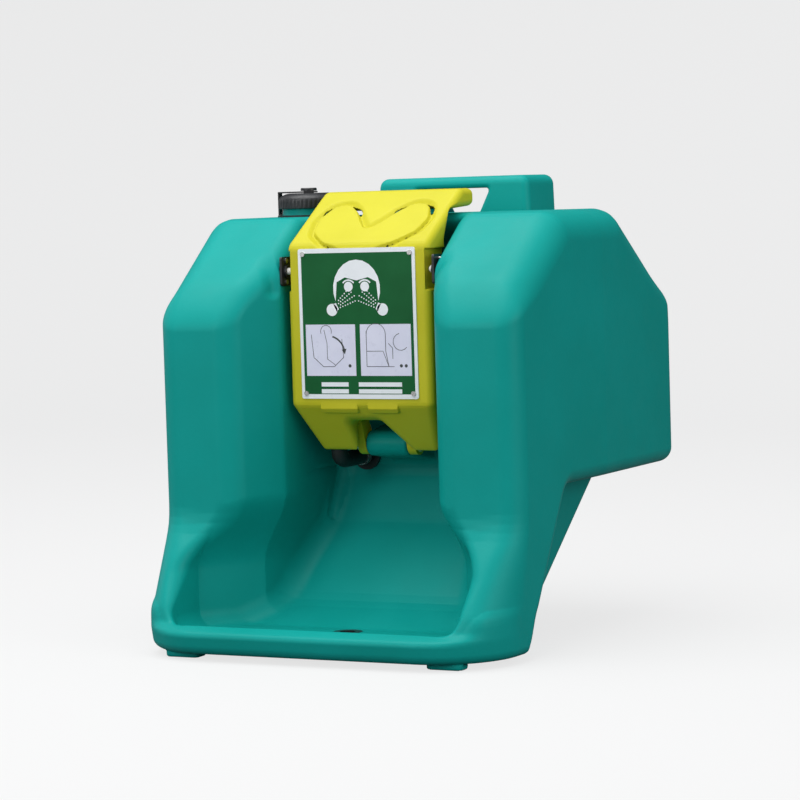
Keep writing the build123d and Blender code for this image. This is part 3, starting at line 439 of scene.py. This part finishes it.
def arm_field(x, y, z):
    s = y - LOBE_Y
    ax = np.abs(x)
    side = poly(s, z, ARM_SIDE)
    front = poly(x, z, ARM_FRONT)
    d = both(side, front, 9)
    outer = d
    # groove round the raised relief on the sloping top
    up = (s - ARM_FACE) * math.cos(SLOPE) + (z - ARM_KNEE) * math.sin(SLOPE)
    out = -(s - ARM_FACE) * math.sin(SLOPE) + (z - ARM_KNEE) * math.cos(SLOPE)
    rim = poly(x, up, RELIEF)
    near = ramp(np.abs(out), 14, 5)
    groove = ramp(rim, 9.5, 0) * ramp(rim, -3.2, 0)
    d = d + near * RELIEF_DEPTH * groove
    # pads under the sign
    pads = np.minimum(slab(x, -60, -5), slab(x, 10, 54))
    pads = both(both(pads, slab(z, 304, 319), 4), slab(s, 78, 110), 3)
    pads = np.maximum(pads, -s + ARM_FACE)
    d = np.minimum(d, np.maximum(pads, d - 3))
    # open back
    pan = both(poly(s, z, ARM_PAN), poly(x, z, ARM_FRONT) + 4, 5)
    d = np.maximum(d, -np.maximum(pan, d + ARM_WALL))
    # side pockets for the catches
    liner = np.maximum(slab(ax, 94, 110), np.maximum(slab(s, 80, ARM_TRAY), slab(z, 461, 519)))
    d = np.minimum(d, np.maximum(liner, outer))
    pocket = np.maximum(98 - ax, np.maximum(84 - s, slab(z, 464, 516)))
    d = both(d, -pocket, 1.5)
    # screw holes of the sign
    holes = np.hypot(ax - SCREW_X, np.abs(z - SCREW_Z) - SCREW_RISE) - SCREW_BORE
    d = np.maximum(d, -np.maximum(holes, s - 92))
    return d


tank = solid_from(
    "tank_skin", body_field, (-274, -313, -4), (274, 313, 612), 3.2)
arm_shell = solid_from(
    "arm_skin", arm_field, (-108, -125, 240), (108, 30, 598), 1.7)
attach(tank, "root")
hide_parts("tank_body")
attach(arm_shell, "arm")
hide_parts("arm_front_shell")


# ---------------------------------------------------------------- materials

def material(name, base, second, rough, rough_spread, bump, grain, metal=0.0, mottle=9.0,
             anisotropy=0.0, shine=0.5):
    """Two-tone mottled surface with uneven gloss and a fine grain, in the object's own coordinates."""
    m = bpy.data.materials.new(name)
    m.use_nodes = True
    tree = m.node_tree
    link = tree.links.new
    shader = tree.nodes["Principled BSDF"]
    place = tree.nodes.new("ShaderNodeTexCoord")
    cloud = tree.nodes.new("ShaderNodeTexNoise")
    cloud.inputs["Scale"].default_value = mottle
    cloud.inputs["Detail"].default_value = 5.0
    cloud.inputs["Roughness"].default_value = 0.6
    link(place.outputs["Object"], cloud.inputs["Vector"])
    tone = tree.nodes.new("ShaderNodeValToRGB")
    tone.color_ramp.elements[0].position = 0.35
    tone.color_ramp.elements[0].color = (*base, 1)
    tone.color_ramp.elements[1].position = 0.68
    tone.color_ramp.elements[1].color = (*second, 1)
    link(cloud.outputs["Fac"], tone.inputs["Fac"])
    link(tone.outputs["Color"], shader.inputs["Base Color"])
    wear = tree.nodes.new("ShaderNodeTexNoise")
    wear.inputs["Scale"].default_value = mottle * 4.3
    wear.inputs["Detail"].default_value = 6.0
    link(place.outputs["Object"], wear.inputs["Vector"])
    spread = tree.nodes.new("ShaderNodeMapRange")
    spread.inputs["From Min"].default_value = 0.3
    spread.inputs["From Max"].default_value = 0.7
    spread.inputs["To Min"].default_value = rough - rough_spread
    spread.inputs["To Max"].default_value = rough + rough_spread
    link(wear.outputs["Fac"], spread.inputs["Value"])
    link(spread.outputs["Result"], shader.inputs["Roughness"])
    fine = tree.nodes.new("ShaderNodeTexNoise")
    fine.inputs["Scale"].default_value = grain
    fine.inputs["Detail"].default_value = 4.0
    link(place.outputs["Object"], fine.inputs["Vector"])
    raised = tree.nodes.new("ShaderNodeBump")
    raised.inputs["Strength"].default_value = 1.0
    raised.inputs["Distance"].default_value = bump
    link(fine.outputs["Fac"], raised.inputs["Height"])
    link(raised.outputs["Normal"], shader.inputs["Normal"])
    shader.inputs["Metallic"].default_value = metal
    shader.inputs["Specular IOR Level"].default_value = shine
    shader.inputs["Anisotropic"].default_value = anisotropy
    return m


def srgb(r, g, b):
    return tuple(((c / 255 + 0.055) / 1.055) ** 2.4 if c > 10 else c / 255 / 12.92 for c in (r, g, b))


teal = material(
    "teal_pe", srgb(11, 145, 137), srgb(13, 151, 144), 0.42, 0.06, 0.00012, 260.0, mottle=6.0, shine=0.10)
yellow = material(
    "yellow_pe", srgb(190, 184, 38), srgb(196, 190, 44), 0.40, 0.05, 0.00010, 300.0, shine=0.14)
black = material(
    "black_moulding", srgb(22, 23, 26), srgb(30, 31, 34), 0.38, 0.08, 0.00006, 900.0, mottle=40.0)
rubber = material(
    "black_rubber", srgb(18, 18, 19), srgb(26, 26, 27), 0.62, 0.08, 0.00006, 1200.0, mottle=40.0)
acetal = material(
    "white_acetal", srgb(222, 221, 214), srgb(230, 229, 223), 0.30, 0.05, 0.00003, 900.0, mottle=40.0)
pvc = material(
    "white_pvc", srgb(226, 226, 220), srgb(233, 233, 228), 0.28, 0.05, 0.00003, 700.0, mottle=30.0)
green = material(
    "green_moulding", srgb(14, 118, 62), srgb(18, 126, 68), 0.30, 0.06, 0.00005, 800.0, mottle=40.0)
steel = material(
    "stainless_steel", (0.60, 0.60, 0.58), (0.68, 0.68, 0.66), 0.28, 0.08, 0.00002, 1500.0,
    metal=1.0, mottle=60.0, anisotropy=0.3)
brass = material(
    "turned_brass", (0.62, 0.45, 0.19), (0.70, 0.52, 0.24), 0.30, 0.08, 0.00002, 1500.0,
    metal=1.0, mottle=60.0)
sign_white = material(
    "sign_white", srgb(228, 232, 236), srgb(236, 239, 243), 0.30, 0.04, 0.00002, 500.0, mottle=25.0)
sign_green = material(
    "sign_green", srgb(16, 86, 44), srgb(20, 94, 50), 0.34, 0.04, 0.00002, 500.0, mottle=18.0, shine=0.15)
sign_pale = material(
    "sign_pale", srgb(214, 214, 234), srgb(222, 222, 240), 0.30, 0.04, 0.00002, 500.0, mottle=25.0)
sign_ink = material(
    "sign_ink", srgb(52, 58, 58), srgb(62, 68, 68), 0.34, 0.04, 0.00002, 500.0, mottle=25.0)

finish = {
    "black_plastic": black, "black_rubber": rubber, "white_acetal": acetal, "white_pvc": pvc,
    "green_plastic": green, "stainless": steel, "brass": brass, "sign_face": sign_white,
    "teal_polyethylene": teal, "yellow_polyethylene": yellow,
}
slot_of = {row["node"]: row["material_slot"] for row in frame["record"]["subparts"]}


def paint(obj, surface_material):
    obj.data.materials.clear()
    obj.data.materials.append(surface_material)


for name, obj in nodes.items():
    paint(obj, finish[slot_of[name]])
paint(tank, teal)
paint(arm_shell, yellow)


# ---------------------------------------------------------------- filler cap

def turned(name, centre, profile, sides, wave, waves, wave_low, wave_high):
    """A closed turned piece; profile is a loop of (radius, height) in metres, wave cuts grip flutes."""
    verts = []
    faces = []
    count = len(profile)
    outside = 0.9 * max(point[0] for point in profile)
    for k in range(sides):
        a = 2 * math.pi * k / sides
        for radius, height in profile:
            cut = 0.0
            if wave_low <= height <= wave_high and radius > outside:
                cut = wave * (0.5 - 0.5 * math.cos(waves * a)) ** 2
            reach_out = radius - cut
            across, along = reach_out * math.cos(a), reach_out * math.sin(a)
            verts.append((centre.x + across, centre.y + along, height))
    for k in range(sides):
        for i in range(count):
            j = (i + 1) % count
            a, b = k * count + i, k * count + j
            c, d = (k + 1) % sides * count + j, (k + 1) % sides * count + i
            faces.append((a, d, c, b))
    mesh = bpy.data.meshes.new(name)
    mesh.from_pydata(verts, [], faces)
    mesh.update()
    mesh.polygons.foreach_set("use_smooth", np.ones(len(mesh.polygons), bool))
    mesh.set_sharp_from_angle(angle=math.radians(42))
    made = bpy.data.objects.new(name, mesh)
    scene.collection.objects.link(made)
    return made


low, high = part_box("filler_cap")
cap_centre = (low + high) / 2
cap_r = (high.x - low.x) / 2
cap_mm, foot_mm, top_mm = cap_r * 1000, low.z * 1000, high.z * 1000
roof_mm = top_mm - 4.9
cap_profile = rounded([
    (cap_mm, foot_mm, 1.0), (cap_mm, top_mm - 5, 9), (cap_mm - 13, top_mm, 16),
    (VENT_BORE, top_mm, 0.3), (VENT_BORE, roof_mm, 0.3),
    (CAP_BORE, roof_mm, 0.5), (CAP_BORE, foot_mm, 0.5),
]) * MM
cap = turned("cap_skin", cap_centre, [tuple(p) for p in cap_profile], 336, wave=0.0012, waves=42,
             wave_low=low.z + 0.0015, wave_high=high.z - 0.009)
paint(cap, black)
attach(cap, "cap")
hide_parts("filler_cap")


# ---------------------------------------------------------------- sign artwork

low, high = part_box("sign_plate")
sign_middle = (low + high) / 2
sign_front = low.y


def flat_art(name, shapes, lift, surface_material):
    """Flat figures just ahead of the sign plate. Each shape is a list of (right, up) in mm."""
    verts = []
    faces = []
    for shape in shapes:
        start = len(verts)
        verts += [
            (sign_middle.x + u * MM, sign_front - lift * MM, sign_middle.z + v * MM) for u, v in shape]
        faces.append(list(range(start, start + len(shape))))
    mesh = bpy.data.meshes.new(name)
    mesh.from_pydata(verts, [], faces)
    mesh.update()
    for face in mesh.polygons:
        if face.normal.y > 0:
            face.flip()
    made = bpy.data.objects.new(name, mesh)
    scene.collection.objects.link(made)
    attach(made, "arm")
    made.data.materials.append(surface_material)
    return made


def box_shape(u0, v0, u1, v1, r=0.0):
    if not r:
        return [(u0, v0), (u1, v0), (u1, v1), (u0, v1)]
    return [tuple(p) for p in rounded([(u0, v0, r), (u1, v0, r), (u1, v1, r), (u0, v1, r)])]


def disc_shape(u, v, r, count=28):
    return [(u + r * math.cos(2 * math.pi * k / count), v + r * math.sin(2 * math.pi * k / count))
            for k in range(count)]


def stroke(points, width):
    """A line of the given width as separate straight pieces, one for each run."""
    shapes = []
    for (u0, v0), (u1, v1) in zip(points, points[1:]):
        d = np.array([u1 - u0, v1 - v0])
        n = np.array([-d[1], d[0]]) / np.linalg.norm(d) * width / 2
        shapes.append([
            (u0 + n[0], v0 + n[1]), (u0 - n[0], v0 - n[1]), (u1 - n[0], v1 - n[1]), (u1 + n[0], v1 + n[1])])
    return shapes


def arc(u, v, r, a0, a1, count=10):
    return [(u + r * math.cos(math.radians(a0 + (a1 - a0) * k / count)),
             v + r * math.sin(math.radians(a0 + (a1 - a0) * k / count))) for k in range(count + 1)]


flat_art("sign_panel", [box_shape(-81, -92, 81, 92, 2.5)], 0.10, sign_green)

helmet = arc(0, 45, 34.5, 205, -25, 14)
helmet = [(u, 45 + (v - 45) * 1.1) for u, v in helmet]
visor = [(29, 54), (17, 60), (0, 56), (-17, 60), (-29, 54)]
flat_art("sign_head", [helmet + visor], 0.20, sign_white)
eyes = [disc_shape(-12, 48, 6.4), disc_shape(12, 48, 6.4)]
nozzles = []
for side in (-1, 1):
    nozzles.append(disc_shape(side * 37, 18, 8.0))
    nozzles.append([(side * 30, 15.5), (side * 35, 25.5), (side * 31, 27), (side * 27, 19)])
brows = []
for side in (-1, 1):
    brows += stroke(arc(side * 12, 46, 10.5, 40, 140, 8), 2.0)
flat_art("sign_figure", eyes + nozzles + brows, 0.24, sign_white)
drops = []
for side in (-1, 1):
    for row in range(4):
        for k in range(7):
            t = (k + 0.5 * (row % 2)) / 7
            spread = (row - 1.5) * (2.6 + 3.6 * t)
            u = side * (26.5 - 23 * t + spread * 0.5)
            drops.append(disc_shape(u, 25 + 15 * t + spread, 0.95, 8))
flat_art("sign_drops", drops, 0.22, sign_white)
flat_art("sign_boxes", [box_shape(-77, -68, -4, -1), box_shape(3, -68, 77, -1)], 0.20, sign_pale)
flat_art("sign_bars", [
    box_shape(-56, -91, -16, -85.4), box_shape(-56, -82, -16, -76.4),
    box_shape(-1, -91, 62, -85.4), box_shape(-1, -82, 62, -76.4)], 0.20, sign_white)

lines = []
lines += stroke([(-69, -14), (-66, -44), (-52, -56), (-36, -56), (-22, -44), (-24, -20)], 0.8)
lines += stroke([(-50, -8), (-46, -26), (-46, -46), (-34, -54)], 0.7)
lines += stroke(arc(-47, -10, 8, 200, -20), 0.8)
lines += stroke(arc(-44, -40, 24, 75, 15), 2.2)
lines += stroke([(12, -10), (12, -56), (44, -56), (40, -36), (40, -14)], 0.8)
lines += stroke(arc(26, -14, 14, 180, 0), 0.8)
lines += stroke([(12, -36), (36, -36), (44, -56), (52, -56)], 0.7)
lines += stroke(arc(62, -24, 11, 100, 320), 0.8)
lines += stroke([(44, -26), (50, -32), (50, -46)], 0.8)
arrow = [(-24.5, -34), (-17.5, -32.5), (-20.0, -40)]
marks = [disc_shape(-13, -55, 2.2), disc_shape(62, -55, 2.2), disc_shape(69, -55, 2.2)]
flat_art("sign_lines", lines + [arrow] + marks, 0.30, sign_ink)


# ---------------------------------------------------------------- hose and strap

def tube_along(name, points, radius):
    """A closed tube on a NURBS spline whose control points are given in metres."""
    data = bpy.data.curves.new(name, "CURVE")
    data.dimensions = "3D"
    spline = data.splines.new("NURBS")
    spline.points.add(len(points) - 1)
    for control, point in zip(spline.points, points):
        control.co = (*point, 1)
    spline.order_u = 3
    spline.use_endpoint_u = True
    spline.resolution_u = 12
    data.bevel_depth = radius
    data.bevel_resolution = 8
    data.use_fill_caps = True
    holder = bpy.data.objects.new(name + "_line", data)
    scene.collection.objects.link(holder)
    bpy.context.view_layer.update()
    mesh = bpy.data.meshes.new_from_object(holder.evaluated_get(bpy.context.evaluated_depsgraph_get()))
    bpy.data.objects.remove(holder)
    mesh.name = name
    mesh.materials.clear()
    made = bpy.data.objects.new(name, mesh)
    scene.collection.objects.link(made)
    return made


low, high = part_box("supply_hose")
hose_x = (low.x + high.x) / 2
hose_r = (high.x - low.x) / 2
start_z = low.z + hose_r
end_y = low.y + hose_r
hose = tube_along("hose_skin", [
    (hose_x, high.y, start_z), (hose_x, high.y - 0.030, start_z),
    (hose_x, end_y + 0.008, start_z - 0.001), (hose_x, end_y - 0.001, start_z + 0.012),
    (hose_x, end_y, high.z - 0.036), (hose_x, end_y, high.z)], hose_r)
paint(hose, rubber)
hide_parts("supply_hose")
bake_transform(hose)

low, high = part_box("tether_strap")
strap = bpy.data.objects.new("strap_skin", nodes["tether_strap"].data.copy())
scene.collection.objects.link(strap)
paint(strap, rubber)
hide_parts("tether_strap")
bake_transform(strap)


# ---------------------------------------------------------------- floor, light and camera

def plain(name, colour, glow):
    m = bpy.data.materials.new(name)
    m.use_nodes = True
    shader = m.node_tree.nodes["Principled BSDF"]
    shader.inputs["Base Color"].default_value = (*colour, 1)
    shader.inputs["Roughness"].default_value = 0.9
    shader.inputs["Emission Color"].default_value = (1, 1, 1, 1)
    seen = m.node_tree.nodes.new("ShaderNodeLightPath")
    level = m.node_tree.nodes.new("ShaderNodeMath")
    level.operation = "MULTIPLY"
    level.inputs[1].default_value = glow
    m.node_tree.links.new(seen.outputs["Is Camera Ray"], level.inputs[0])
    m.node_tree.links.new(level.outputs["Value"], shader.inputs["Emission Strength"])
    return m


outline = [(-6.0, 0.0), (3.2, 0.0)]
for k in range(1, 13):
    a = math.radians(90 * k / 12)
    outline.append((3.2 + 1.6 * math.sin(a), 1.6 - 1.6 * math.cos(a)))
outline.append((4.8, 6.0))
verts = [(x, y, z) for y, z in outline for x in (-9.0, 9.0)]
faces = [(2 * k, 2 * k + 1, 2 * k + 3, 2 * k + 2) for k in range(len(outline) - 1)]
mesh = bpy.data.meshes.new("studio_floor")
mesh.from_pydata(verts, [], faces)
mesh.update()
for face in mesh.polygons:
    face.use_smooth = True
floor = bpy.data.objects.new("studio_floor", mesh)
scene.collection.objects.link(floor)
floor.data.materials.append(plain("studio_paper", (0.12, 0.12, 0.12), 0.74))
floor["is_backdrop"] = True

world = bpy.data.worlds.new("studio")
scene.world = world
world.use_nodes = True
world.node_tree.nodes["Background"].inputs["Color"].default_value = (0.95, 0.97, 1.0, 1)
world.node_tree.nodes["Background"].inputs["Strength"].default_value = 0.72


def lamp(name, place, target, width, height, power):
    data = bpy.data.lights.new(name, "AREA")
    data.shape = "RECTANGLE"
    data.size = width
    data.size_y = height
    data.energy = power
    made = bpy.data.objects.new(name, data)
    made.location = place
    made.rotation_mode = "QUATERNION"
    made.rotation_quaternion = (Vector(target) - Vector(place)).to_track_quat("-Z", "Y")
    scene.collection.objects.link(made)
    return made


lamp("top_softbox", (-0.3, -0.5, 2.6), (0, 0, 0.2), 2.6, 2.2, 58)
lamp("front_softbox", (-0.9, -3.4, 1.5), (0, 0, 0.3), 1.8, 1.4, 26)
lamp("right_softbox", (3.2, -0.8, 1.1), (0, 0, 0.3), 1.6, 1.6, 22)

camera_data = bpy.data.cameras.new("camera")
camera = bpy.data.objects.new("camera", camera_data)
scene.collection.objects.link(camera)
scene.camera = camera
azimuth, elevation, roll, reach = 27.21, 3.92, 1.74, 3.78
target = Vector((0.0997, -0.201, 0.3280))
a, e = math.radians(azimuth), math.radians(elevation)
back = Vector((math.sin(a) * math.cos(e), -math.cos(a) * math.cos(e), math.sin(e)))
camera.location = target + back * reach
camera.rotation_mode = "QUATERNION"
level = (-back).to_track_quat("-Z", "Y")
turn = Matrix.Rotation(math.radians(-roll), 4, "Z").to_quaternion()
camera.rotation_quaternion = level @ turn
camera_data.sensor_width = 36.0
camera_data.lens = 135.0
camera_data.clip_start = 0.1
camera_data.clip_end = 60.0
scene.view_settings.view_transform = "Standard"

low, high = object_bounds()
